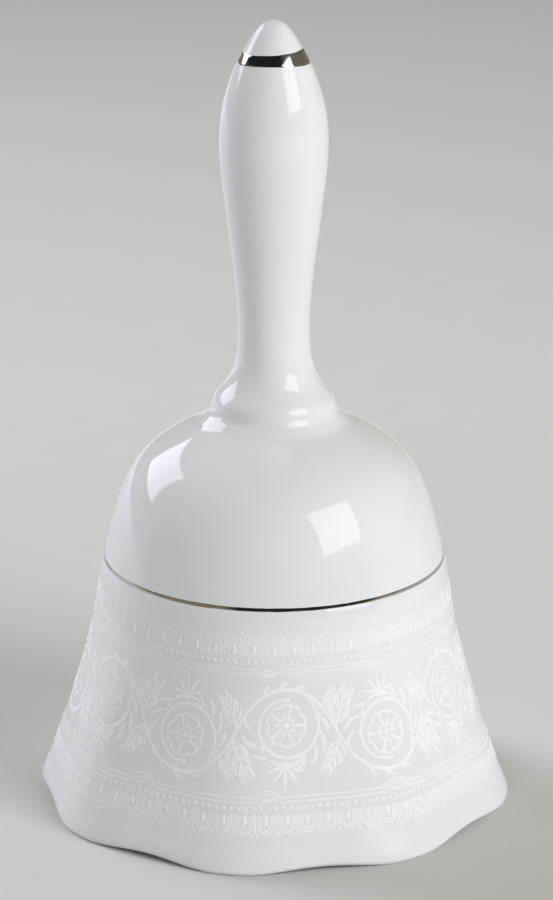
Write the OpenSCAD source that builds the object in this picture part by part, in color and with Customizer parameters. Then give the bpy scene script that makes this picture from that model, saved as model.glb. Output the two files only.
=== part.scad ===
// Porcelain table bell: a scalloped bell casting with a separately cast handle,
// fired platinum bands, and a porcelain clapper hung on wire inside.
// Millimetres, +Z up. The origin is on the table, under the middle of the bell.

/* [Bell] */
// Mean radius of the scalloped lip
lip_r = 44.3; // [42:0.1:48]
// Height of the lip's rounding above the table
lip_round = 0.9; // [0.6:0.1:1.4]
// Height of the waist, where the dome meets the skirt
waist_z = 47; // [45:0.5:50]
// Radius at the waist
waist_r = 32.2; // [31:0.1:33]
// Height of the flat crown that carries the handle
crown_z = 75.1; // [74.8:0.1:75.6]
// Thickness of the bell's wall
wall = 2.6; // [2:0.1:3.2]

/* [Scallops] */
// Number of scallops round the lip
lobes = 8; // [6, 8, 12]
// How far a scallop swings out and in from the mean radius
lobe_swing = 0.9; // [0:0.05:1.6]
// How far the lip lifts off the table between two scallops
lobe_lift = 0.85; // [0:0.05:1.4]

/* [Handle] */
// Height of the handle's tip above the table
tip_z = 150; // [148:1:154]
// Height and radius of the widest place of the grip
grip_z = 127; // [125:1:128]
grip_r = 10.1; // [9.5:0.1:11]
// Height and radius of the narrowest place above the collar
neck_z = 91.4; // [90:0.2:94]
neck_r = 6.7; // [6.4:0.1:7.4]
// Height and radius of the fold between the flared collar and its foot
collar_z = 77.4; // [77:0.1:78]
collar_r = 11.5; // [11.2:0.1:11.9]

/* [Platinum bands] */
// Width of the fine line round the waist
waist_line_w = 0.7; // [0.3:0.05:0.8]
// Build-up of the fired metal
film = 0.05; // [0.03:0.01:0.1]

/* [Clapper] */
// Radius of the porcelain ball
ball_r = 7; // [5.5:0.1:7.5]
// Height of the ball's centre above the table
ball_z = 15.5; // [14:0.5:18]
// Wire of the hanger eye and of the clapper
wire_d = 1.2; // [1:0.1:1.4]
// Wire of the link between them
link_wire_d = 1.0; // [0.8:0.1:1.2]
// Height of the hinge point in the hanger eye
eye_z = 66; // [64:0.5:67]
// Distance from the hinge point in the eye to the one in the link
link_pitch = 4.4; // [4.2:0.1:5.5]
// Running clearance between two wires
wire_gap = 0.05; // [0.03:0.01:0.1]

/* [Hidden] */

segments = 96;                      // flats round the bell, a whole number for each scallop
throat_r = neck_r - wall;           // round hole through the crown and the handle's foot
crown_under_z = crown_z - 2.8;      // flat underside of the crown
joint_r = collar_r + 1.1;           // edge of the joint between the handle's foot and the crown
shoulder = [joint_r + 2.2, crown_z - 1.8];      // where the dome starts
foot_flat = 0.15;                   // share of a scallop's height that is ground flat
eye_r = 2.2;                        // bend radius of the hanger eye
ring_r = 2.1;                       // bend radius of the link and of the clapper's loop
link_z = eye_z - link_pitch;        // hinge point in the link
loop_top_z = link_z + (wire_d + link_wire_d)/2 + wire_gap;
loop_z = loop_top_z - ring_r;       // centre of the clapper's loop
crimp_h = 2.1;                      // height of the crimped sleeve under the ball
crimp_r = 1.4;
wire_end_z = ball_z - ball_r - crimp_h - 0.3;

// Cubic curves of the bell's outside, each with four control points [radius, height]
crown_fillet = [[joint_r, crown_z], [joint_r + 0.5, crown_z - 0.45],
                [joint_r + 1, crown_z - 1.2], shoulder];
dome = [shoulder, [26, 67.6], [28.2, 65.1], [waist_r, waist_z]];
skirt = [[waist_r, waist_z], [waist_r + 1.6, waist_z - 3.7], [lip_r - 12.2, 33.4], [lip_r, lip_round]];

// Cubic curves of the handle's outside, from the tip down
nose = [[0, tip_z], [2.6, tip_z], [4.1, tip_z - 3.4], [5.45, tip_z - 5.6]];
side = [[5.45, tip_z - 5.6], [7.6, tip_z - 9.2], [grip_r, grip_z + 7.5], [grip_r, grip_z]];
grip = [[grip_r, grip_z], [grip_r, grip_z - 8.5], [neck_r, neck_z + 10.6], [neck_r, neck_z]];
flare = [[neck_r, neck_z], [neck_r, neck_z - 11.4], [collar_r - 0.6, collar_z + 3.2], [collar_r, collar_z]];
foot = [[collar_r, collar_z], [collar_r + 0.12, collar_z - 0.65],
        [joint_r - 0.75, crown_z + 0.65], [joint_r, crown_z]];
side_steps = 12;
band_steps = 2;                     // steps of the handle's side that the tip band covers

function curve(p, t) =
    pow(1 - t, 3)*p[0] + 3*t*pow(1 - t, 2)*p[1] + 3*t*t*(1 - t)*p[2] + pow(t, 3)*p[3];

function curve_dir(p, t) =
    3*pow(1 - t, 2)*(p[1] - p[0]) + 6*t*(1 - t)*(p[2] - p[1]) + 3*t*t*(p[3] - p[2]);

// Point at a depth below the surface, square to a curve that runs outwards and down
function below(p, t, depth) =
    let (v = curve_dir(p, t)) curve(p, t) - depth*[-v.y, v.x]/norm(v);

// Points along a curve, without its last one
function trace(p, steps) = [for (i = [0 : steps - 1]) curve(p, i/steps)];

// The same points at a depth, from the curve's end back to its start
function trace_back(p, steps, depth, last = 1) =
    [for (i = [steps : -1 : 0]) below(p, last*i/steps, depth)];

// One section through the bell's wall, from the crown's hole over the outside,
// round the lip and back up the inside
bell_section = concat(
    [[throat_r, crown_z]],
    trace(crown_fillet, 3),
    trace(dome, 10),
    trace(skirt, 12),
    [[lip_r, lip_round], [lip_r - 0.22, 0.35], [lip_r - 0.7, 0],
     [lip_r - 1.6, 0], [lip_r - 2.1, 0.45]],
    trace_back(skirt, 7, wall - 0.3, 0.96),
    trace_back(dome, 7, wall),
    [[9, crown_under_z], [throat_r, crown_under_z]]);

// Share of the scallop left at a height: whole at the lip, running out at the waist
function scallop(z) = max(0, 1 - z/waist_z);

// Lift of the lip at an angle: none where a scallop's crest is ground flat
function notch(a) = max(0, (1 - cos(lobes*a))/2 - foot_flat)/(1 - foot_flat);

function bell_point(p, a) =
    let (w = scallop(p.y), r = p.x + w*lobe_swing*cos(lobes*a))
    [r*cos(a), r*sin(a), p.y + w*lobe_lift*notch(a)];

module bell_shell() {
    rings = len(bell_section);
    points = [for (p = bell_section, j = [0 : segments - 1]) bell_point(p, 360*j/segments)];
    faces = [for (i = [0 : rings - 1], j = [0 : segments - 1])
        let (k = (i + 1) % rings, m = (j + 1) % segments)
        [i*segments + j, i*segments + m, k*segments + m, k*segments + j]];
    color("whitesmoke")
        polyhedron(points, faces);
}

// Hollow casting: the solid outline less a core that follows it at the wall's depth
module handle() {
    outline = concat(
        trace(nose, 6),
        trace(side, side_steps),
        trace(grip, 14),
        trace(flare, 12),
        trace(foot, 4),
        [[joint_r, crown_z], [throat_r, crown_z]],
        trace_back(grip, 12, wall),
        trace_back(side, 5, wall),
        [[0, tip_z - 9]]);
    color("whitesmoke")
        rotate_extrude($fn = 96) polygon(outline);
}

// A ring of fired metal on a stretch of a curve
module metal_ring(p, stops, sunk) {
    rotate_extrude($fn = 96)
        polygon(concat(
            [for (t = stops) below(p, t, sunk)],
            [for (i = [len(stops) - 1 : -1 : 0]) below(p, stops[i], -film)]));
}

module tip_band() {
    color("silver")
        metal_ring(side, [for (i = [0 : band_steps]) i/side_steps], 0);
}

module waist_line() {
    start = 1 - waist_line_w/norm(curve_dir(dome, 1));
    color("silver")
        metal_ring(dome, [start, 1], film);
}

// Plug cast in the throat, with a bead squeezed out under the crown
module crown_cement() {
    plug_r = throat_r - 0.05;
    color("ivory")
        difference() {
            rotate_extrude($fn = 64)
                polygon(concat(
                    [[0, crown_under_z - 0.8]],
                    [for (a = [0 : 15 : 90]) [3.9 + 1.3*sin(a), crown_under_z - 0.8*cos(a)]],
                    [[plug_r, crown_under_z], [plug_r, crown_z + 9], [0, crown_z + 9]]));
            eye_legs();
        }
}

module eye_legs() {
    for (s = [-1, 1])
        translate([0, s*eye_r, eye_z + eye_r])
            cylinder(d = wire_d, h = crown_z + 7 - eye_z - eye_r, $fn = 24);
}

// Half a ring of wire in the XZ plane, open side up
module half_ring(r, d) {
    rotate([-90, 0, 0])
        rotate_extrude(angle = 180, $fn = 48)
            translate([r, 0]) circle(d = d, $fn = 24);
}

module hanger_eye() {
    color("lightslategray") {
        translate([0, 0, eye_z + eye_r]) rotate([0, 0, 90]) half_ring(eye_r, wire_d);
        eye_legs();
    }
}

module swing_link() {
    top_z = eye_z + (wire_d + link_wire_d)/2 + wire_gap - ring_r;
    low_z = link_z + ring_r;
    color("slategray") {
        translate([0, 0, low_z]) half_ring(ring_r, link_wire_d);
        translate([0, 0, top_z]) mirror([0, 0, 1]) half_ring(ring_r, link_wire_d);
        for (s = [-1, 1])
            translate([s*ring_r, 0, low_z]) cylinder(d = link_wire_d, h = top_z - low_z, $fn = 24);
    }
}

// Loop at the top, closed by turns round its own stem, and a stem through the ball
module clapper_wire() {
    stem_top_z = loop_z - ring_r;
    color("slategray") {
        translate([0, 0, loop_z])
            rotate([0, 90, 0])
                rotate_extrude($fn = 48) translate([ring_r, 0]) circle(d = wire_d, $fn = 24);
        for (i = [0 : 2])
            translate([0, 0, stem_top_z - 1.3 - i*wire_d*0.96])
                rotate_extrude($fn = 32) translate([wire_d*0.95, 0]) circle(d = wire_d, $fn = 24);
        translate([0, 0, wire_end_z])
            cylinder(d = wire_d, h = stem_top_z - wire_end_z, $fn = 24);
    }
}

module clapper_ball() {
    color("white")
        difference() {
            translate([0, 0, ball_z]) sphere(r = ball_r, $fn = 64);
            translate([0, 0, ball_z - ball_r - 1])
                cylinder(d = wire_d + 0.1, h = 2*ball_r + 2, $fn = 24);
        }
}

// Sleeve squeezed on the wire to carry the ball
module stop_crimp() {
    top = ball_z - ball_r;
    color("lightgray")
        rotate_extrude($fn = 32)
            polygon([[wire_d/2, top - crimp_h], [crimp_r - 0.3, top - crimp_h],
                     [crimp_r, top - crimp_h + 0.4], [crimp_r, top - 0.4],
                     [crimp_r - 0.3, top], [wire_d/2, top]]);
}

bell_shell();
handle();
tip_band();
waist_line();
crown_cement();
hanger_eye();
swing_link();
clapper_wire();
clapper_ball();
stop_crimp();
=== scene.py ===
import math

import bpy
from mathutils import Matrix, Vector, noise


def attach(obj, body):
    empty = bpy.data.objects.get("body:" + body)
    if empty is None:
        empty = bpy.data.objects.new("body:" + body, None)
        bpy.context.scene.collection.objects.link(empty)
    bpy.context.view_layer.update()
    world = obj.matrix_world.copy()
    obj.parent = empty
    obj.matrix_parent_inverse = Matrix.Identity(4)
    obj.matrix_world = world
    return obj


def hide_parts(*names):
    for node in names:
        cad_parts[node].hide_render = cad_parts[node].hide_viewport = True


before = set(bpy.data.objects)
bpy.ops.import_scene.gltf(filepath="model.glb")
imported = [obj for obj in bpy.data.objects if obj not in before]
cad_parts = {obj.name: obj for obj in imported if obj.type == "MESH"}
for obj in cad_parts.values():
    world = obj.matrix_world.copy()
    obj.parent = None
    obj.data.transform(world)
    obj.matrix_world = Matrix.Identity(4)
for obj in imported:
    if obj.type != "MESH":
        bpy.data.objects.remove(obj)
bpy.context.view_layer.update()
mm = 0.001


# ---------------------------------------------------------------------------
# The set: a pale grey table top that runs off into haze, seen through a long
# lens from a little above the bell.
# ---------------------------------------------------------------------------
front = Matrix.Rotation(math.radians(10.5), 4, "Z")     # turns the set towards the bell's best side

camera_data = bpy.data.cameras.new("camera")
camera_data.lens = 170.8
camera_data.sensor_width = 36
camera = bpy.data.objects.new("camera", camera_data)
bpy.context.scene.collection.objects.link(camera)
camera.location = front @ Vector((0, -761.5 * mm, 319.4 * mm))
aim = front @ Vector((0.49 * mm, 0, 67.48 * mm))
camera.rotation_euler = (aim - camera.location).to_track_quat("-Z", "Y").to_euler()
bpy.context.scene.camera = camera
bpy.context.scene.view_settings.view_transform = "Standard"


def blank_material(name):
    """A new material with nothing in its node tree; gives both."""
    material = bpy.data.materials.new(name)
    material.use_nodes = True
    material.node_tree.nodes.clear()
    return material, material.node_tree


def add(tree, kind, inputs=None, **settings):
    """Adds a node; its inputs, by name or number, are sockets or constants. Gives its outputs."""
    node = tree.nodes.new(kind)
    for name, value in settings.items():
        setattr(node, name, value)
    for key, value in (inputs or {}).items():
        socket = node.inputs[key]
        if isinstance(value, bpy.types.NodeSocket):
            tree.links.new(value, socket)
        else:
            socket.default_value = (*value, 1) if socket.type == "RGBA" else value
    return node.outputs


def maths(tree, operation, *values):
    return add(tree, "ShaderNodeMath", dict(enumerate(values)), operation=operation)["Value"]


def vector_maths(tree, operation, *values, result="Vector"):
    return add(tree, "ShaderNodeVectorMath", dict(enumerate(values)), operation=operation)[result]


def between(tree, value, low, high, out_low=0.0, out_high=1.0):
    """A value taken from one range to another, held at the ends."""
    return add(tree, "ShaderNodeMapRange", {"Value": value, "From Min": low, "From Max": high,
                                            "To Min": out_low, "To Max": out_high})["Result"]


def mix_colours(tree, factor, first, second):
    return add(tree, "ShaderNodeMix", {"Factor": factor, "A": first, "B": second}, data_type="RGBA")["Result"]


def mix_shaders(tree, factor, first, second):
    return add(tree, "ShaderNodeMixShader", {0: factor, 1: first, 2: second})["Shader"]


def cloud(tree, place, scale, detail=2.0):
    """Soft noise at a number of features a metre."""
    return add(tree, "ShaderNodeTexNoise", {"Vector": place, "Scale": scale, "Detail": detail})["Fac"]


haze_grey = (0.38, 0.38, 0.38)


def table_material():
    """Matt paper: it takes shadows near the bell, is an even grey far off, and clear from below."""
    material, tree = blank_material("table_paper")
    place = add(tree, "ShaderNodeTexCoord")["Object"]
    fibres = mix_colours(tree, cloud(tree, place, 90), (0.645, 0.645, 0.64), (0.675, 0.675, 0.67))
    paper = add(tree, "ShaderNodeBsdfDiffuse", {"Color": fibres})["BSDF"]
    haze = add(tree, "ShaderNodeEmission", {"Color": haze_grey})["Emission"]
    distance = vector_maths(tree, "LENGTH", place, result="Value")
    seen = maths(tree, "MULTIPLY", add(tree, "ShaderNodeLightPath")["Is Camera Ray"],
                 between(tree, distance, 0.25, 0.8))
    far = mix_shaders(tree, seen, paper, haze)
    below = add(tree, "ShaderNodeNewGeometry")["Backfacing"]
    clear = add(tree, "ShaderNodeBsdfTransparent")["BSDF"]
    add(tree, "ShaderNodeOutputMaterial", {"Surface": mix_shaders(tree, below, far, clear)})
    return material


def smooth_mesh(name, points, faces, material):
    """A smooth-shaded object at the origin from points in metres."""
    mesh = bpy.data.meshes.new(name)
    mesh.from_pydata(points, [], faces)
    mesh.polygons.foreach_set("use_smooth", [True] * len(faces))
    mesh.materials.append(material)
    mesh.update()
    mesh.set_sharp_from_angle(angle=math.radians(36))
    piece = bpy.data.objects.new(name, mesh)
    bpy.context.scene.collection.objects.link(piece)
    return piece


def ring_faces(rings, segments, closed):
    """Quads between rings of points: each is anticlockwise from above, and lower than the one before."""
    last = rings if closed else rings - 1
    faces = []
    for i in range(last):
        low = (i + 1) % rings
        for j in range(segments):
            side = (j + 1) % segments
            faces.append((i * segments + j, low * segments + j, low * segments + side, i * segments + side))
    return faces


def make_table():
    segments, radii = 96, (0.2, 0.6, 1.2, 2.4)
    points = [(r * math.cos(t), r * math.sin(t), 0)
              for r in radii
              for t in [2 * math.pi * j / segments for j in range(segments)]]
    faces = ring_faces(len(radii), segments, False) + [tuple(range(segments))]
    table = smooth_mesh("table", points, faces, table_material())


make_table()


# Two soft boxes light the bell: one beside the camera on its right, one behind the bell on the left.
def softbox(name, centre, back, tilt_axis, size, radiance, shine, colour):
    """A rectangular lamp in two layers: one that is mirrored in the glaze, and the rest, which is not.

    back points away from the bell, and tilt_axis roughly up the lamp's face.
    """
    back, up = Vector(back), Vector(tilt_axis)
    right = up.cross(back).normalized()
    up = back.cross(right).normalized()
    turn = Matrix((right, up, back)).transposed().to_4x4()
    for layer, part, mirrored in (("front", shine, True), ("back", radiance - shine, False)):
        lamp = bpy.data.lights.new(name + "_" + layer, "AREA")
        lamp.shape = "RECTANGLE"
        lamp.size, lamp.size_y = size
        lamp.color = colour
        lamp.energy = part * math.pi * size[0] * size[1]
        holder = bpy.data.objects.new(lamp.name, lamp)
        bpy.context.scene.collection.objects.link(holder)
        holder.matrix_world = front @ Matrix.Translation(Vector(centre)) @ turn
        holder.visible_camera = False
        holder.visible_glossy = mirrored


softbox("right_softbox", centre=(1.093, -0.936, 0.762), back=(0.64, -0.46, 0.62),
        tilt_axis=(-0.49, 0.37, 0.79), size=(0.914, 0.859), radiance=7.6, shine=3.4,
        colour=(0.98, 1.0, 0.98))
softbox("left_softbox", centre=(-1.008, 1.037, 0.746), back=(-0.81, -0.23, 0.54),
        tilt_axis=(0.58, -0.14, 0.80), size=(1.486, 0.624), radiance=8.5, shine=3.8,
        colour=(0.85, 0.895, 1.0))


def room_light():
    """Fill from the room, seen as haze; the glaze mirrors a dim room, darker in front and overhead."""
    world = bpy.data.worlds.new("room")
    bpy.context.scene.world = world
    world.use_nodes = True
    tree = world.node_tree
    tree.nodes.clear()
    way = add(tree, "ShaderNodeTexCoord")["Generated"]
    level_way = vector_maths(tree, "NORMALIZE", vector_maths(tree, "MULTIPLY", way, (1, 1, 0)))
    height = add(tree, "ShaderNodeSeparateXYZ", {"Vector": way})["Z"]

    def mixed(factor, low, high, first, second):
        return mix_colours(tree, between(tree, factor, low, high), first, second)

    def facing(direction):
        return vector_maths(tree, "DOT_PRODUCT", level_way, front @ Vector(direction), result="Value")

    def glow(colour):
        return add(tree, "ShaderNodeBackground", {"Color": colour})["Background"]

    round_about = mixed(facing((0, 1, 0)), -1, 1, (0.57, 0.63, 0.83), (0.89, 0.93, 1.04))
    fill = mixed(height, 0, 0.7, round_about, (0.23, 0.19, 0.12))
    sides = mixed(facing((0.342, -0.940, 0)), 0.60, 0.72, (0.27, 0.235, 0.18), (0.02, 0.02, 0.02))
    above = mixed(facing((1, 0, 0)), 0.5, 1, (0.02, 0.02, 0.02), (0.2, 0.19, 0.165))
    mirrored = mixed(height, 0.1, 0.4, sides, above)
    rays = add(tree, "ShaderNodeLightPath")
    shown = mix_shaders(tree, rays["Is Glossy Ray"], glow(fill), glow(mirrored))
    shown = mix_shaders(tree, rays["Is Camera Ray"], shown, glow(haze_grey))
    add(tree, "ShaderNodeOutputWorld", {"Surface": shown})


room_light()


# ---------------------------------------------------------------------------
# The bell: a slip casting of white porcelain, thin enough to ring. Its lip is
# pulled out into eight scallops, whose crests are ground flat to stand on;
# everything else is under a clear gloss glaze.
# ---------------------------------------------------------------------------
def curve_point(curve, t):
    """Point of a cubic curve given by four control points (radius, height)."""
    s = 1 - t
    weight = (s ** 3, 3 * t * s * s, 3 * t * t * s, t ** 3)
    return tuple(sum(w * p[k] for w, p in zip(weight, curve)) for k in (0, 1))


def curve_below(curve, t, depth):
    """The same point moved square to the curve, inwards from its outer side."""
    s = 1 - t
    slope = [3 * s * s * (curve[1][k] - curve[0][k]) + 6 * t * s * (curve[2][k] - curve[1][k])
             + 3 * t * t * (curve[3][k] - curve[2][k]) for k in (0, 1)]
    long = math.hypot(*slope)
    r, z = curve_point(curve, t)
    return r + depth * slope[1] / long, z - depth * slope[0] / long


def trace(curve, steps):
    """Points along a curve, without its last one."""
    return [curve_point(curve, i / steps) for i in range(steps)]


def trace_back(curve, steps, depth):
    """Points at a depth below a curve, from its end back to its start."""
    return [curve_below(curve, i / steps, depth) for i in range(steps, -1, -1)]


crown_z, waist_z, waist_r = 75.1, 47.0, 32.2
lip_r, lip_round, wall = 44.3, 0.9, 2.6
crown_under_z, throat_r, joint_r = 72.3, 4.1, 12.6
shoulder = (joint_r + 2.2, crown_z - 1.8)
crown_fillet = [(joint_r, crown_z), (joint_r + 0.5, crown_z - 0.45), (joint_r + 1, crown_z - 1.2), shoulder]
dome = [shoulder, (26, 67.6), (28.2, 65.1), (waist_r, waist_z)]
skirt = [(waist_r, waist_z), (waist_r + 1.6, waist_z - 3.7), (lip_r - 12.2, 33.4), (lip_r, lip_round)]
lobes, lobe_swing, lobe_lift, foot_flat = 8, 0.9, 0.85, 0.15


def spun(r, z, angle):
    """A point in metres from a radius and a height in millimetres."""
    return r * math.cos(angle) * mm, r * math.sin(angle) * mm, z * mm


def scalloped(r, z, angle):
    """A point of the bell in metres: the scallops run out at the waist."""
    share = max(0.0, 1 - z / waist_z)
    notch = max(0.0, (1 - math.cos(lobes * angle)) / 2 - foot_flat) / (1 - foot_flat)
    r += share * lobe_swing * math.cos(lobes * angle)
    z += share * lobe_lift * notch
    return spun(r, z, angle)


def turned(name, section, segments, material, place=spun):
    """A piece turned from a section that runs out and down; it closes on the axis, or else on itself."""
    top, bottom = section[0][0] == 0, section[-1][0] == 0
    rings = section[top:len(section) - bottom]
    points = [place(r, z, 2 * math.pi * j / segments) for r, z in rings for j in range(segments)]
    faces = ring_faces(len(rings), segments, not (top or bottom))
    if top:
        points.append((0, 0, section[0][1] * mm))
        faces += [(len(points) - 1, j, (j + 1) % segments) for j in range(segments)]
    if bottom:
        points.append((0, 0, section[-1][1] * mm))
        last = (len(rings) - 1) * segments
        faces += [(len(points) - 1, last + (j + 1) % segments, last + j) for j in range(segments)]
    return smooth_mesh(name, points, faces, material)


def new_group(name, colours):
    """A node group for a surface; gives its tree and the sockets that come in."""
    tree = bpy.data.node_groups.new(name, "ShaderNodeTree")
    inputs = [("Place", "NodeSocketVector")] + [(colour, "NodeSocketColor") for colour in colours]
    outputs = [("Colour", "NodeSocketColor"), ("Roughness", "NodeSocketFloat"), ("Height", "NodeSocketFloat")]
    for in_out, sockets in (("INPUT", inputs), ("OUTPUT", outputs)):
        for socket_name, kind in sockets:
            tree.interface.new_socket(socket_name, in_out=in_out, socket_type=kind)
    return tree, add(tree, "NodeGroupInput")


def glaze_group():
    """Clear glaze over a white body: faint clouds, rare kiln specks and a slow ripple."""
    tree, given = new_group("glaze_skin", ("Body", "Thick glaze", "Speck"))
    place = given["Place"]
    patches = between(tree, cloud(tree, place, 45), 0.35, 0.7)
    body = mix_colours(tree, patches, given["Body"], given["Thick glaze"])
    cells = add(tree, "ShaderNodeTexVoronoi", {"Vector": place, "Scale": 260})
    near = between(tree, cells["Distance"], 0.03, 0.05, 1, 0)
    pick = add(tree, "ShaderNodeSeparateColor", {"Color": cells["Color"]})["Red"]
    speck = maths(tree, "MULTIPLY", near, between(tree, pick, 0.955, 0.965))
    add(tree, "NodeGroupOutput", {
        "Colour": mix_colours(tree, speck, body, given["Speck"]),
        "Roughness": between(tree, cloud(tree, place, 150), 0.3, 0.7, 0.05, 0.09),
        "Height": maths(tree, "MULTIPLY_ADD", cloud(tree, place, 900, 1), 0.12, cloud(tree, place, 190, 1))})
    return tree


glaze_skin = glaze_group()


def surface_material(name):
    """A material to be filled; gives it, its node tree and Object coordinates."""
    material, tree = blank_material(name)
    return material, tree, add(tree, "ShaderNodeTexCoord")["Object"]


def dress(tree, colour, rough, height, depth, others=None):
    """Ends a material in a Principled shader, with a relief of that depth in metres."""
    relief = add(tree, "ShaderNodeBump", {"Distance": depth, "Height": height})["Normal"]
    shader = add(tree, "ShaderNodeBsdfPrincipled", {"Base Color": colour, "Roughness": rough,
                                                    "Normal": relief, **(others or {})})
    add(tree, "ShaderNodeOutputMaterial", {"Surface": shader["BSDF"]})


def unglaze(tree, place, mask, colour, rough, clays, matt):
    """Bare gritty clay where the mask is 1; gives the new colour and roughness."""
    bare = mix_colours(tree, between(tree, cloud(tree, place, 2600), 0.3, 0.7), *clays)
    bare_rough = between(tree, mask, 0, 1, 0, matt)
    return mix_colours(tree, mask, colour, bare), maths(tree, "MAXIMUM", bare_rough, rough)


def porcelain_material(name, ground_foot):
    """Glazed porcelain; a ground foot is bare, matt and a little grey."""
    material, tree, place = surface_material(name)
    skin = add(tree, "ShaderNodeGroup", {
        "Place": place, "Body": (0.80, 0.802, 0.795), "Thick glaze": (0.78, 0.79, 0.79),
        "Speck": (0.6, 0.57, 0.51)}, node_tree=glaze_skin)
    colour, rough = skin["Colour"], skin["Roughness"]
    if ground_foot:
        height = add(tree, "ShaderNodeSeparateXYZ", {"Vector": place})["Z"]
        ground = between(tree, height, 0.04 * mm, 0.12 * mm, 1, 0)
        clays = ((0.62, 0.59, 0.53), (0.74, 0.72, 0.67))
        colour, rough = unglaze(tree, place, ground, colour, rough, clays, 0.75)
        dull_rim = between(tree, height, 4 * mm, 9 * mm, 0.3, 0)
        rough = maths(tree, "MAXIMUM", dull_rim, rough)
    dress(tree, colour, rough, skin["Height"], 0.009 * mm, {"IOR": 1.5})
    return material


def make_bell():
    section = [(throat_r, crown_z)] + trace(crown_fillet, 10) + trace(dome, 34) + trace(skirt, 64)
    section += [(lip_r, lip_round), (lip_r - 0.06, 0.6), (lip_r - 0.22, 0.3), (lip_r - 0.45, 0.08),
                (lip_r - 0.7, 0), (lip_r - 1.6, 0), (lip_r - 1.85, 0.1), (lip_r - 2.1, 0.45)]
    section += [curve_below(skirt, 0.96 * i / 28, wall - 0.3) for i in range(28, 11, -1)]
    section += trace_back(dome, 20, wall)
    section += [(10.5, crown_under_z - 0.33), (9, crown_under_z - 0.05), (8, crown_under_z),
                (throat_r + 0.4, crown_under_z), (throat_r, crown_under_z + 0.3)]
    bell = turned("bell_casting", section, 256, porcelain_material("bell_glaze", True), scalloped)
    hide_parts("bell_shell")
    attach(bell, "root")
    return bell


bell = make_bell()


# ---------------------------------------------------------------------------
# The handle: a hollow casting of the same porcelain, luted to the crown with
# slip and fired with it, so that its flared collar runs on into the dome.
# ---------------------------------------------------------------------------
tip_z, grip_z, grip_r = 150.0, 127.0, 10.1
neck_z, neck_r, collar_z, collar_r = 91.4, 6.7, 77.4, 11.5
nose = [(0, tip_z), (2.6, tip_z), (4.1, tip_z - 3.4), (5.45, tip_z - 5.6)]
side = [(5.45, tip_z - 5.6), (7.6, tip_z - 9.2), (grip_r, grip_z + 7.5), (grip_r, grip_z)]
grip = [(grip_r, grip_z), (grip_r, grip_z - 8.5), (neck_r, neck_z + 10.6), (neck_r, neck_z)]
flare = [(neck_r, neck_z), (neck_r, neck_z - 11.4), (collar_r - 0.6, collar_z + 3.2), (collar_r, collar_z)]
foot = [(collar_r, collar_z), (collar_r + 0.12, collar_z - 0.65), (joint_r - 0.75, crown_z + 0.65),
        (joint_r, crown_z)]
handle_side = trace(nose, 24) + trace(side, 40) + trace(grip, 36) + trace(flare, 36) + trace(foot, 12)


def make_handle():
    section = handle_side + [(joint_r, crown_z), (throat_r, crown_z)]
    section += trace_back(grip, 24, wall) + trace_back(side, 16, wall)[1:] + [(0, tip_z - 9)]
    handle = turned("handle_casting", section, 128, porcelain_material("handle_glaze", False))
    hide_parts("handle")
    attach(handle, "root")


make_handle()


# ---------------------------------------------------------------------------
# Platinum: a lustre brushed on the fired glaze and fired again. A broad band
# goes round the tip by hand, and a fine line round the waist on the wheel.
# ---------------------------------------------------------------------------
def fired_metal_group():
    """Brush streaks that run round the bell, with thin places that fire bronze."""
    tree, given = new_group("fired_metal", ("Metal", "Thin film"))
    drawn = vector_maths(tree, "MULTIPLY", given["Place"], (1, 1, 9))
    streaks = cloud(tree, drawn, 420, 3)
    patches = between(tree, cloud(tree, given["Place"], 95), 0.45, 0.75)
    add(tree, "NodeGroupOutput", {
        "Colour": mix_colours(tree, patches, given["Metal"], given["Thin film"]),
        "Roughness": between(tree, streaks, 0.3, 0.75, 0.05, 0.13),
        "Height": streaks})
    return tree


fired_metal = fired_metal_group()


def platinum_material():
    material, tree, place = surface_material("platinum_lustre")
    film = add(tree, "ShaderNodeGroup", {
        "Place": place, "Metal": (0.60, 0.58, 0.55), "Thin film": (0.56, 0.47, 0.36)},
        node_tree=fired_metal)
    dress(tree, film["Colour"], film["Roughness"], film["Height"], 0.002 * mm, {"Metallic": 1})
    return material


platinum = platinum_material()
film_section = [(0, -0.02), (0.04, 0.02), (0.2, 0.026), (0.5, 0.028), (0.8, 0.026), (0.96, 0.02), (1, -0.02)]


def fired_band(name, segments, place):
    """A film right round; place gives its radius and height from the share across, lift and angle."""
    points = []
    for across, lift in film_section:
        for j in range(segments):
            t = 2 * math.pi * j / segments
            r, z = place(across, lift, t)
            points.append(spun(r, z, t))
    return smooth_mesh(name, points, ring_faces(len(film_section), segments, False), platinum)


def make_tip_band():
    def on_handle(z, lift):
        above = next(i for i in range(1, len(handle_side)) if handle_side[i][1] <= z)
        (r0, z0), (r1, z1) = handle_side[above - 1], handle_side[above]
        share = (z0 - z) / (z0 - z1)
        long = math.hypot(r1 - r0, z1 - z0)
        return r0 + share * (r1 - r0) + lift * (z0 - z1) / long, z + lift * (r1 - r0) / long

    def place(across, lift, t):
        hand = Vector((math.cos(t), math.sin(t), 0))
        seen = t + math.radians(79.5)
        top = 144.4 + 0.35 * math.sin(seen) + 0.06 * math.cos(seen) + 0.04 * noise.noise(hand * 2.3)
        low = 142.22 + 0.23 * math.cos(2 * seen) + 0.04 * noise.noise(hand * 2.9 + Vector((5, 0, 0)))
        return on_handle(top + (low - top) * across, lift)

    band = fired_band("tip_band_lustre", 192, place)
    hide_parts("tip_band")
    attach(band, "root")


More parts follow.
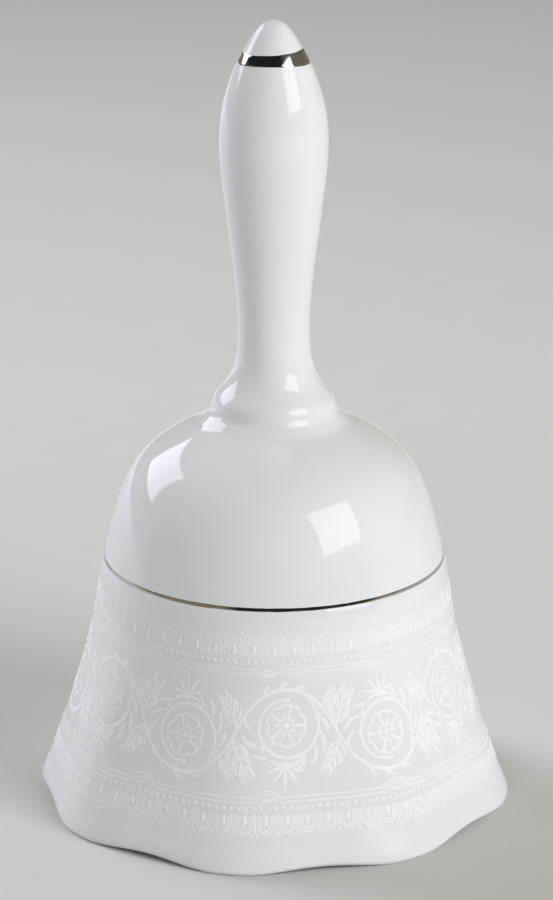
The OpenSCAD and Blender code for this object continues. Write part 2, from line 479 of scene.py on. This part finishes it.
def make_waist_line():
    width = 0.7
    speed = 3 * math.dist(dome[2], dome[3])     # millimetres for each unit of t, at the dome's end

    def place(across, lift, t):
        hand = Vector((math.cos(t), math.sin(t), 0))
        half = 0.5 * width * (1 + 0.18 * noise.noise(hand * 7) + 0.1 * noise.noise(hand * 31))
        return curve_below(dome, 1 - (0.5 * width + half * (1 - 2 * across)) / speed, -lift)

    line = fired_band("waist_line_lustre", 256, place)
    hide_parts("waist_line")
    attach(line, "root")


make_tip_band()
make_waist_line()


# ---------------------------------------------------------------------------
# White relief enamel on the skirt: matt paste lines that stand a little proud
# of the gloss glaze. Each motif is drawn flat, with x round the bell, y up it
# and z out of it, in millimetres, then repeated and laid on the skirt.
# ---------------------------------------------------------------------------
paste_sunk, paste_crown = -0.015, 0.085


def enamel_material():
    material, tree, place = surface_material("relief_enamel")
    grain = cloud(tree, place, 3200, 2)
    thin = between(tree, cloud(tree, place, 260), 0.3, 0.7)
    colour = mix_colours(tree, thin, (0.857, 0.862, 0.857), (0.897, 0.897, 0.887))
    dress(tree, colour, between(tree, grain, 0.3, 0.7, 0.42, 0.6), grain, 0.006 * mm)
    return material


enamel = enamel_material()


def ribbon(drawing, path, widths):
    """A line of paste along a path; widths go from its start to its end."""
    points, faces = drawing
    base, last = len(points), len(path) - 1
    for i, (x, y) in enumerate(path):
        before, after = path[max(0, i - 1)], path[min(last, i + 1)]
        along = Vector((after[0] - before[0], after[1] - before[1])).normalized()
        at = i / last * (len(widths) - 1)
        k = min(int(at), len(widths) - 2)
        half = 0.5 * (widths[k] + (widths[k + 1] - widths[k]) * (at - k))
        crown = paste_crown * min(1.0, 0.2 + half / 0.4)
        points += [(x - along.y * half, y + along.x * half, paste_sunk), (x, y, crown),
                   (x + along.y * half, y - along.x * half, paste_sunk)]
        if i < last:
            a = base + 3 * i
            faces += [(a, a + 1, a + 4, a + 3), (a + 1, a + 2, a + 5, a + 4), (a + 2, a, a + 3, a + 5)]
    end = base + 3 * last
    faces += [(base, base + 2, base + 1), (end, end + 1, end + 2)]


def pad(drawing, outline):
    """A filled spot of paste with a low crown, from an anticlockwise outline."""
    points, faces = drawing
    base, count, inset = len(points), len(outline), 0.5
    middle = Vector((sum(p[0] for p in outline), sum(p[1] for p in outline))) / count
    points += [(x, y, paste_sunk) for x, y in outline]
    points += [(middle.x + (x - middle.x) * inset, middle.y + (y - middle.y) * inset, paste_crown * 0.9)
               for x, y in outline]
    points.append((middle.x, middle.y, paste_crown))
    for i in range(count):
        j = (i + 1) % count
        faces += [(base + i, base + j, base + count + j, base + count + i),
                  (base + count + i, base + count + j, base + 2 * count)]
    faces.append(tuple(base + i for i in reversed(range(count))))


def bead(drawing, x, y, radius):
    sides = 8
    turns = [2 * math.pi * k / sides for k in range(sides)]
    pad(drawing, [(x + radius * math.cos(a), y + radius * math.sin(a)) for a in turns])


def wrap_tree():
    """Geometry nodes: repeats a flat motif in a row and lays the row round the bell's wall."""
    tree = bpy.data.node_groups.new("lay_round_the_skirt", "GeometryNodeTree")
    sockets = [("Motif", "NodeSocketObject"), ("Wall", "NodeSocketObject"), ("Copies", "NodeSocketInt"),
               ("Radius", "NodeSocketFloat"), ("Turn", "NodeSocketFloat"), ("Enamel", "NodeSocketMaterial")]
    for name, kind in sockets:
        tree.interface.new_socket(name, in_out="INPUT", socket_type=kind)
    tree.interface.new_socket("Ring", in_out="OUTPUT", socket_type="NodeSocketGeometry")
    given = add(tree, "NodeGroupInput")

    def vector(x, y, z):
        return add(tree, "ShaderNodeCombineXYZ", {"X": x, "Y": y, "Z": z})["Vector"]

    def scaled(way, factor):
        return add(tree, "ShaderNodeVectorMath", {0: way, "Scale": factor}, operation="SCALE")["Vector"]

    round_length = maths(tree, "MULTIPLY", given["Radius"], 2 * math.pi)
    pitch = maths(tree, "DIVIDE", round_length, given["Copies"])
    row = add(tree, "GeometryNodeMeshLine", {"Count": given["Copies"], "Offset": vector(pitch, 0, 0)})["Mesh"]
    motif = add(tree, "GeometryNodeObjectInfo", {"Object": given["Motif"]})["Geometry"]
    copies = add(tree, "GeometryNodeInstanceOnPoints", {"Points": row, "Instance": motif})["Instances"]
    real = add(tree, "GeometryNodeRealizeInstances", {"Geometry": copies})["Geometry"]
    flat = add(tree, "ShaderNodeSeparateXYZ", {"Vector": add(tree, "GeometryNodeInputPosition")["Position"]})
    angle = maths(tree, "ADD", maths(tree, "DIVIDE", flat["X"], given["Radius"]), given["Turn"])
    outward = vector(maths(tree, "SINE", angle), maths(tree, "MULTIPLY", maths(tree, "COSINE", angle), -1), 0)
    reach = 60 * mm     # the rays start outside the bell and end on its axis
    start = vector_maths(tree, "ADD", scaled(outward, reach), vector(0, 0, flat["Y"]))
    wall = add(tree, "GeometryNodeObjectInfo", {"Object": given["Wall"]})["Geometry"]
    probe = add(tree, "GeometryNodeRaycast", {
        "Target Geometry": wall, "Source Position": start, "Ray Direction": scaled(outward, -1.0),
        "Ray Length": reach}, data_type="FLOAT")
    lifted = vector_maths(tree, "ADD", probe["Hit Position"], scaled(probe["Hit Normal"], flat["Z"]))
    laid = add(tree, "GeometryNodeSetPosition", {"Geometry": real, "Position": lifted})["Geometry"]
    coat = add(tree, "GeometryNodeSetMaterial", {"Geometry": laid, "Material": given["Enamel"]})["Geometry"]
    add(tree, "NodeGroupOutput", {"Ring": coat})
    return tree


lay_round = wrap_tree()


def lay_on_skirt(name, drawing, copies, radius, turn):
    """Makes a ring of a motif, drawn true at a radius; turn is the angle of the first copy."""
    points, faces = drawing
    mesh = bpy.data.meshes.new(name + "_motif")
    mesh.from_pydata([(x * mm, y * mm, z * mm) for x, y, z in points], [], faces)
    motif = bpy.data.objects.new(name + "_motif", mesh)
    carrier = bpy.data.objects.new(name + "_carrier", bpy.data.meshes.new(name + "_carrier"))
    for item in (motif, carrier):
        bpy.context.scene.collection.objects.link(item)
    modifier = carrier.modifiers.new("lay", "NODES")
    modifier.node_group = lay_round
    values = {"Motif": motif, "Wall": bell, "Copies": copies, "Radius": radius * mm,
              "Turn": math.radians(turn), "Enamel": enamel}
    for item in lay_round.interface.items_tree:
        if item.in_out == "INPUT":
            modifier[item.identifier] = values[item.name]
    graph = bpy.context.evaluated_depsgraph_get()
    ring_mesh = bpy.data.meshes.new_from_object(carrier.evaluated_get(graph), depsgraph=graph)
    ring_mesh.name = name
    ring_mesh.polygons.foreach_set("use_smooth", [True] * len(ring_mesh.polygons))
    ring_mesh.set_sharp_from_angle(angle=math.radians(55))
    bpy.data.objects.remove(carrier)
    bpy.data.objects.remove(motif)
    ring = bpy.data.objects.new(name, ring_mesh)
    bpy.context.scene.collection.objects.link(ring)
    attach(ring, "root")


def arch_path(half, foot, top, steps):
    """A round arch: up one leg, over, and down the other."""
    over = [(-half * math.cos(math.pi * k / steps), top - half + half * math.sin(math.pi * k / steps))
            for k in range(steps + 1)]
    return [(-half, foot)] + over + [(half, foot)]


def arcade_cell(pitch, foot, height, line, up):
    """One bay of the arcade, two arches round a lancet, and half of the fork on each side of it."""
    drawing = ([], [])
    half, edge = 0.36 * pitch, pitch / 2
    shapes = [(arch_path(half, 0.05 * height, 0.82 * height, 8), [line, line]),
              (arch_path(0.66 * half, 0.1 * height, 0.68 * height, 6), [line * 0.85, line * 0.85]),
              ([(edge, 0.05 * height), (edge, 0.72 * height), (edge, 0.8 * height)], [line, line])]
    for out, tip in ((0.6, 0.66), (0.4, 0.34)):
        shapes.append(([(edge, 0.76 * height), (pitch * out, 0.86 * height), (pitch * tip, height)],
                       [line, line * 0.6]))
    for path, widths in shapes:
        ribbon(drawing, [(x, foot + up * y) for x, y in path], widths)
    wide, low, high = 0.13 * pitch, 0.08 * height, 0.56 * height
    lancet = [(wide, low), (wide, 0.5 * (low + high)), (0.6 * wide, 0.86 * high), (0, high),
              (-0.6 * wide, 0.86 * high), (-wide, 0.5 * (low + high)), (-wide, low)]
    if up < 0:
        lancet.reverse()
    pad(drawing, [(x, foot + up * y) for x, y in lancet])
    return drawing


def make_arcades():
    for name, radius, bays, foot, height, line, up, turn in (
            ("upper_arcade", 33, 58, 38.7, 4.5, 0.36, 1, 10.4),
            ("lower_arcade", 42.6, 67, 10.9, 4.2, 0.42, -1, 8.4)):
        cell = arcade_cell(2 * math.pi * radius / bays, foot, height, line, up)
        lay_on_skirt(name, cell, bays, radius, turn)


def make_beading():
    for name, z, count, radius, size in (("upper_beading", 37.75, 166, 33.6, 0.36),
                                         ("lower_beading", 11.8, 186, 41.4, 0.4)):
        drawing = ([], [])
        bead(drawing, 0, z, size)
        lay_on_skirt(name, drawing, count, radius, turn=9)


def fillet_bay(width, lines, line, clasp_y, half, deep, up):
    """Two fillets across a bay, stopped by a flat half-round clasp that holds a small shell."""
    drawing = ([], [])
    steps = 14
    for y in lines:
        for side in (-1, 1):
            ends = (side * half, side * width / 2)
            path = [(ends[0] + (ends[1] - ends[0]) * k / steps, y) for k in range(steps + 1)]
            ribbon(drawing, path if side > 0 else path[::-1], [line, line])
    for size, share in ((1, 1.2), (0.7, 0.95)):
        turns = [math.pi * k / steps for k in range(steps + 1)]
        bow = [(size * half * math.cos(a), clasp_y + up * size * deep * math.sin(a)) for a in turns]
        ribbon(drawing, bow[::up], [line * share] * 2)
    for lean in (-0.9, -0.3, 0.3, 0.9):
        tip = (half * 0.5 * math.sin(lean), clasp_y + up * deep * 0.5 * math.cos(lean))
        ribbon(drawing, [(tip[0] * 0.25, clasp_y), (tip[0] * 0.8, clasp_y + up * deep * 0.2), tip],
               [line * 0.8, line * 1.4, line * 0.7])
    return drawing


def make_fillets():
    bays = 10
    for name, radius, lines, line, clasp_y, half, deep, up in (
            ("upper_fillets", 34.3, (36.5, 35.75), 0.3, 36.5, 2.2, 1.35, -1),
            ("lower_fillets", 41.2, (13.7, 12.85), 0.34, 12.85, 2.8, 1.95, 1)):
        bay = fillet_bay(2 * math.pi * radius / bays, lines, line, clasp_y, half, deep, up)
        lay_on_skirt(name, bay, bays, radius, turn=8.4)


def stroke(root, heading, length, turns, steps=6):
    """Path of a brush stroke; turns holds its first and last bend, in degrees a millimetre."""
    path, (x, y) = [root], root
    for k in range(steps):
        at = (k + 0.5) / steps
        way = math.radians(heading + length * (turns[0] * at + (turns[1] - turns[0]) * at * at / 2))
        x, y = x + length / steps * math.cos(way), y + length / steps * math.sin(way)
        path.append((x, y))
    return path


def lobe(drawing, root, heading, length, bend, width):
    """One full stroke of a leaf, fattest past its middle."""
    path = stroke(root, heading, length, (0.4 * bend / length, 1.6 * bend / length))
    ribbon(drawing, path, [width * 0.45, width * 0.9, width, width * 0.25])


def acanthus(drawing, root, heading, length, bend, pairs, width):
    """A leaf spray: a rib with lobes on both sides that shorten and close up towards its tip."""
    rib = stroke(root, heading, length, (bend / length,) * 2, 12)
    ribbon(drawing, rib, [width * 0.9, width * 0.9, width * 0.35])
    for k in range(pairs):
        share = 0.06 + 0.76 * k / pairs
        way, size = heading + bend * share, length * (0.5 - 0.26 * share)
        for side in (-1, 1):
            lobe(drawing, rib[round(share * 12)], way + side * (58 - 18 * share), size, -side * 62, width)


def palmette(drawing, root, heading, length, width):
    """A fan of seven lobes on a bead, the outer ones curling away."""
    bead(drawing, root[0], root[1], width * 0.9)
    for k in range(-3, 4):
        lobe(drawing, root, heading + 27 * k, length * (1 - 0.09 * abs(k)), 24 * k, width)


def tendril(drawing, root, heading, length, turns, width):
    """A thin line that winds up round a bead."""
    path = stroke(root, heading, length, turns, 14)
    ribbon(drawing, path, [width, width * 0.9, width * 0.7])
    bead(drawing, path[-1][0], path[-1][1], width * 1.05)


def rosette(drawing, middle, radius, petals, turn):
    """A flower: outlined heart-shaped petals with a vein in each, small sepals between them, and a seed."""
    def spot(u, v, a):
        return (middle[0] + radius * (u * math.cos(a) - v * math.sin(a)),
                middle[1] + radius * (u * math.sin(a) + v * math.cos(a)))

    rim = [(0.26, 0.06), (0.42, 0.28), (0.64, 0.5), (0.84, 0.54), (0.98, 0.35), (0.98, 0.14), (0.88, 0)]
    for k in range(petals):
        a = turn + 2 * math.pi * k / petals
        outline = [spot(u, v, a) for u, v in rim] + [spot(u, -v, a) for u, v in rim[-2::-1]]
        ribbon(drawing, outline, [0.34, 0.55, 0.58, 0.5, 0.58, 0.55, 0.34])
        ribbon(drawing, [spot(u, 0, a) for u in (0.3, 0.45, 0.66)], [0.36, 0.64, 0.2])
        ribbon(drawing, [spot(u, 0, a + math.pi / petals) for u in (0.5, 0.66, 0.86)], [0.2, 0.6, 0.18])
    bead(drawing, *middle, 0.17 * radius)


def frieze_wave(drawing, x0, width, middle, flip):
    """Half a wave of a running scroll, over a flower where flip is 1 and under it where it is -1."""
    ring = 6.5
    cx, cy = x0 + width / 2, middle + flip * 1.5

    def on_ring(angle, radius=ring):
        a = math.radians(angle)
        return cx + radius * math.cos(a), cy + flip * radius * math.sin(a)

    foot_of, crest = Vector((x0, middle)), Vector((cx, cy + flip * ring))
    steer, ease = foot_of + Vector((1.9, flip * 3.9)), crest - Vector((5.0, 0))
    climb = [tuple((1 - t) ** 3 * foot_of + 3 * t * (1 - t) ** 2 * steer
                   + 3 * t * t * (1 - t) * ease + t ** 3 * crest)
             for t in [k / 14 for k in range(15)]]
    ribbon(drawing, climb + [(2 * cx - x, y) for x, y in climb[-2::-1]], [0.6, 0.78, 0.88, 0.78, 0.6])
    wound = [on_ring(58 - 332 * k / 44, ring + 0.1 - 2.0 * k / 44) for k in range(45)]
    ribbon(drawing, wound, [0.36, 0.78, 0.78, 0.62, 0.44])
    bead(drawing, *wound[-1], 0.52)
    rosette(drawing, (cx, cy), 3.7, 5, math.radians(18 + 90 * flip))
    for angle, lean, length, bend in ((132, 42, 2.6, -50), (104, 40, 2.4, -60), (76, 44, 2.4, -60),
                                      (14, 36, 3.6, -60), (-10, 40, 3.8, -62), (-34, 44, 3.6, -64),
                                      (-58, 44, 2.8, -60), (-122, 44, 3.0, -60), (-146, 44, 3.6, -64),
                                      (-170, 40, 3.4, -60), (20, -40, 1.9, 60), (-60, -40, 1.7, 60),
                                      (-130, -40, 1.7, 60)):
        lobe(drawing, on_ring(angle), flip * (angle - 90 + lean), 1.12 * length, flip * bend,
             0.62 + 0.08 * length)
    palmette(drawing, on_ring(-92, ring + 0.3), flip * -92, 4.7, 0.74)
    acanthus(drawing, (x0 + width * 0.99, middle + flip * 0.6), flip * 78, 8.8, flip * -30, 6, 0.72)
    acanthus(drawing, (x0 + 0.3, middle + flip * 1.3), flip * 104, 7.4, flip * 34, 5, 0.66)
    acanthus(drawing, (x0 + width * 0.86, middle + flip * 4.6), flip * 30, 4.8, flip * 60, 4, 0.58)
    tendril(drawing, (x0 + width * 0.9, middle + flip * 3.6), flip * -160, 4.4, (flip * 6, flip * -120), 0.46)


def make_frieze():
    """Six waves round the skirt, between the two pairs of fillets."""
    radius, waves, middle, drawing = 37.3, 6, 24.75, ([], [])
    width = 2 * math.pi * radius / waves
    for x0, flip in ((-width / 2, 1), (0.0, -1)):
        frieze_wave(drawing, x0, width / 2, middle, flip)
    lay_on_skirt("scroll_frieze", drawing, waves, radius, turn=29)


make_arcades()
make_beading()
make_fillets()
make_frieze()


# ---------------------------------------------------------------------------
# Inside, the cement: plaster cement pressed up the hollow neck round the legs
# of the hanger, with a lumpy bead smoothed by thumb under the crown.
# ---------------------------------------------------------------------------
def cement_material():
    material, tree, place = surface_material("neck_cement")
    stains = between(tree, cloud(tree, place, 420, 4), 0.3, 0.7)
    colour = mix_colours(tree, stains, (0.50, 0.46, 0.38), (0.66, 0.63, 0.56))
    grains = cloud(tree, place, 4200, 3)
    pits = add(tree, "ShaderNodeTexVoronoi", {"Vector": place, "Scale": 1500})["Distance"]
    height = maths(tree, "MULTIPLY_ADD", between(tree, pits, 0.05, 0.3), 1.5, grains)
    dress(tree, colour, between(tree, grains, 0.3, 0.7, 0.75, 0.95), height, 0.05 * mm)
    return material


def make_cement():
    plug_r, plug_top = throat_r - 0.05, crown_z + 9
    section = [(0, plug_top), (plug_r * 0.5, plug_top), (plug_r - 0.2, plug_top), (plug_r, plug_top - 0.2),
               (plug_r, crown_under_z + 0.2), (4.3, crown_under_z), (4.8, crown_under_z)]
    section += [(3.9 + 1.3 * math.cos(a), crown_under_z - 0.8 * math.sin(a))
                for a in [math.radians(10 * k) for k in range(10)]]
    section += [(r, crown_under_z - 0.8) for r in (3.3, 2.7, 2.1, 1.5, 0.9, 0.4, 0)]

    def pressed(r, z, angle):
        hand = Vector((math.cos(angle), math.sin(angle), 0))
        spot = hand * r
        under = max(0.0, min(1.0, (crown_under_z - z) / 0.5))
        spot *= 1 + 0.07 * under * noise.noise(hand * 1.9) * min(1, r / 3)
        climb = sum(math.exp(-((spot.x ** 2 + (spot.y - side * 2.2) ** 2) / 0.9)) for side in (-1, 1))
        lump = 0.22 * noise.noise(spot * 0.55) + 0.08 * noise.noise(spot * 1.6)
        return spot.x * mm, spot.y * mm, (z + under * (lump - 0.45 * climb + 0.1)) * mm

    cement = turned("cement_plug", section, 72, cement_material(), pressed)
    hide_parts("crown_cement")
    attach(cement, "root")


make_cement()


# ---------------------------------------------------------------------------
# The hanging wires, of drawn stainless wire: a staple set in the cement, a
# link bent into an oval, and the clapper's wire, closed in a loop that is
# wrapped three times round its own stem.
# ---------------------------------------------------------------------------
def wire_material():
    """Draw marks along the wire, on its UV map: x is the share round it, y millimetres along it."""
    material, tree, place = surface_material("drawn_wire")
    layout = add(tree, "ShaderNodeUVMap", uv_map="wire")["UV"]
    marks = cloud(tree, vector_maths(tree, "MULTIPLY", layout, (26, 0.35, 1)), 1, 3)
    dull = between(tree, cloud(tree, place, 700, 3), 0.35, 0.7)
    colour = mix_colours(tree, dull, (0.60, 0.59, 0.56), (0.46, 0.44, 0.41))
    dress(tree, colour, between(tree, marks, 0.3, 0.7, 0.22, 0.42), marks, 0.008 * mm, {"Metallic": 1})
    return material


wire_finish = wire_material()


def smooth_path(points, steps):
    """A Catmull-Rom curve through points."""
    path = []
    for i in range(len(points) - 1):
        a, b, c, d = points[max(i - 1, 0)], points[i], points[i + 1], points[min(i + 2, len(points) - 1)]
        for k in range(steps):
            t = k / steps
            path.append(0.5 * (2 * b + (c - a) * t + (2 * a - 5 * b + 4 * c - d) * t * t
                               + (3 * b - 3 * c + d - a) * t ** 3))
    return path + [points[-1]]


def bend_wire(name, path, diameter, node, body):
    """A round wire along a path in millimetres, with its cut ends a little broken at the edge."""
    sides, radius, last = 16, diameter / 2, len(path) - 1
    ways = [(path[min(i + 1, last)] - path[max(i - 1, 0)]).normalized() for i in range(last + 1)]
    stops = [(path[0], ways[0], 0.8)] + [(path[i], ways[i], 1) for i in range(last + 1)]
    stops.append((path[last], ways[last], 0.8))
    stops[1] = (path[0] + ways[0] * 0.1 * diameter, ways[0], 1)
    stops[-2] = (path[last] - ways[last] * 0.1 * diameter, ways[last], 1)
    points, faces, layout = [], [], []
    across, along = ways[0].orthogonal(), 0
    for i, (middle, way, share) in enumerate(stops):
        across = (across - way * across.dot(way)).normalized()
        along += (middle - stops[i - 1][0]).length if i else 0
        for j in range(sides):
            a = 2 * math.pi * j / sides
            spot = middle + radius * share * (across * math.cos(a) + way.cross(across) * math.sin(a))
            points.append(tuple(spot * mm))
            if i < len(stops) - 1:
                k = (j + 1) % sides
                faces.append((i * sides + j, i * sides + k, (i + 1) * sides + k, (i + 1) * sides + j))
                ahead = along + (stops[i + 1][0] - middle).length
                left, right = j / sides, (j + 1) / sides
                layout += [(left, along), (right, along), (right, ahead), (left, ahead)]
    faces += [tuple(reversed(range(sides))), tuple(range(len(points) - sides, len(points)))]
    layout += [(0.5, 0)] * sides + [(0.5, along)] * sides
    wire = smooth_mesh(name, points, faces, wire_finish)
    wire.data.uv_layers.new(name="wire").data.foreach_set("uv", [value for spot in layout for value in spot])
    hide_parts(node)
    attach(wire, body)


wire_d, link_d, eye_r, ring_r = 1.2, 1.0, 2.2, 2.1
eye_z, link_z, wire_gap = 66.0, 61.6, 0.05


def make_hanger():
    bow_z = eye_z + eye_r
    bow = [Vector((0, -eye_r * math.cos(a), bow_z - eye_r * math.sin(a)))
           for a in [math.radians(7.5 * k) for k in range(25)]]
    leg = [Vector((0, -eye_r, z)) for z in (crown_z + 7, crown_z + 2, crown_under_z, 70.2)]
    path = leg + bow + [Vector((0, eye_r, p.z)) for p in reversed(leg)]
    bend_wire("hanger_staple", path, wire_d, "hanger_eye", "root")


def make_link():
    """The two cut ends meet half way up one side."""
    top_z = eye_z + (wire_d + link_d) / 2 + wire_gap - ring_r
    low_z, cut = link_z + ring_r, 0.06
    middle = (top_z + low_z) / 2
    turn = [math.radians(7.5 * k) for k in range(25)]
    path = [Vector((ring_r, 0, middle + cut))]
    path += [Vector((ring_r * math.cos(a), 0, top_z + ring_r * math.sin(a))) for a in turn]
    path += [Vector((-ring_r * math.cos(a), 0, low_z - ring_r * math.sin(a))) for a in turn]
    path.append(Vector((ring_r, 0, middle - cut)))
    bend_wire("oval_link", path, link_d, "swing_link", "link")


ball_r, ball_z = 7.0, 15.5
crimp_h, crimp_r = 2.1, 1.4
wire_end_z = ball_z - ball_r - crimp_h - 0.3


def make_clapper_wire():
    loop_z = link_z + (wire_d + link_d) / 2 + wire_gap - ring_r
    neck = loop_z - ring_r
    coarse = [Vector((0, 0, z)) for z in (wire_end_z, 20, 35, 48, 54, 56.5, 57.4, 58)]
    coarse += [Vector((0, -ring_r * math.sin(a), loop_z - ring_r * math.cos(a)))
               for a in [math.radians(27 + 12 * k) for k in range(25)]]
    coarse.append(Vector((0.42, 1.12, neck - 0.25)))
    wrap_r, pitch, turns = 0.95 * wire_d, 0.96 * wire_d, 3
    for k in range(12 * turns + 1):
        a = math.radians(50 - 30 * k)
        coarse.append(Vector((wrap_r * math.cos(a), wrap_r * math.sin(a), neck - 0.75 - pitch * k / 12)))
    bend_wire("clapper_stem", smooth_path(coarse, 3), wire_d, "clapper_wire", "clapper")


make_hanger()
make_link()
make_clapper_wire()


# ---------------------------------------------------------------------------
# The clapper: a glazed porcelain ball, threaded on the wire and carried by a
# soft metal sleeve squeezed on under it. The ball was fired standing on its
# lower hole, which left a bare ring there.
# ---------------------------------------------------------------------------
def ball_material():
    material, tree, place = surface_material("ball_glaze")
    skin = add(tree, "ShaderNodeGroup", {
        "Place": place, "Body": (0.76, 0.76, 0.74), "Thick glaze": (0.72, 0.735, 0.735),
        "Speck": (0.34, 0.30, 0.25)}, node_tree=glaze_skin)
    from_foot = vector_maths(tree, "DISTANCE", place, (0, 0, (ball_z - ball_r) * mm), result="Value")
    bare = between(tree, from_foot, 1.7 * mm, 2.0 * mm, 1, 0)
    clays = ((0.58, 0.54, 0.47), (0.72, 0.69, 0.63))
    colour, rough = unglaze(tree, place, bare, skin["Colour"], skin["Roughness"], clays, 0.8)
    dress(tree, colour, rough, skin["Height"], 0.02 * mm)
    return material


def make_ball():
    hole = wire_d / 2 + 0.05
    edge = math.degrees(math.asin((hole + 0.25) / ball_r))
    arc = [math.radians(edge + (180 - 2 * edge) * k / 48) for k in range(49)]
    section = [(hole, ball_z + ball_r - 0.35)]
    section += [(ball_r * math.sin(a), ball_z + ball_r * math.cos(a)) for a in arc]
    section.append((hole, ball_z - ball_r + 0.35))
    ball = turned("clapper_bead", section, 72, ball_material())
    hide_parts("clapper_ball")
    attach(ball, "clapper")


def crimp_material():
    material, tree, place = surface_material("soft_sleeve")
    scuffs = cloud(tree, place, 2400, 4)
    colour = mix_colours(tree, between(tree, scuffs, 0.35, 0.65), (0.62, 0.62, 0.63), (0.50, 0.50, 0.51))
    dress(tree, colour, between(tree, scuffs, 0.3, 0.7, 0.3, 0.5), scuffs, 0.02 * mm, {"Metallic": 1})
    return material


def make_crimp():
    top, hole = ball_z - ball_r, wire_d / 2
    section = [(hole, top), (crimp_r - 0.3, top), (crimp_r - 0.08, top - 0.12), (crimp_r, top - 0.35)]
    section += [(crimp_r, top - 0.35 - (crimp_h - 0.7) * k / 12) for k in range(1, 13)]
    section += [(crimp_r - 0.08, top - crimp_h + 0.12), (crimp_r - 0.3, top - crimp_h), (hole, top - crimp_h)]

    def squeezed(r, z, angle):
        bite = math.exp(-((z - (top - crimp_h / 2)) / 0.42) ** 2) * (r - hole) / (crimp_r - hole)
        r -= bite * (0.42 * abs(math.cos(angle - 0.5)) ** 3)
        return spun(r, z, angle)

    sleeve = turned("crimped_sleeve", section, 48, crimp_material(), squeezed)
    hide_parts("stop_crimp")
    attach(sleeve, "clapper")


make_ball()
make_crimp()
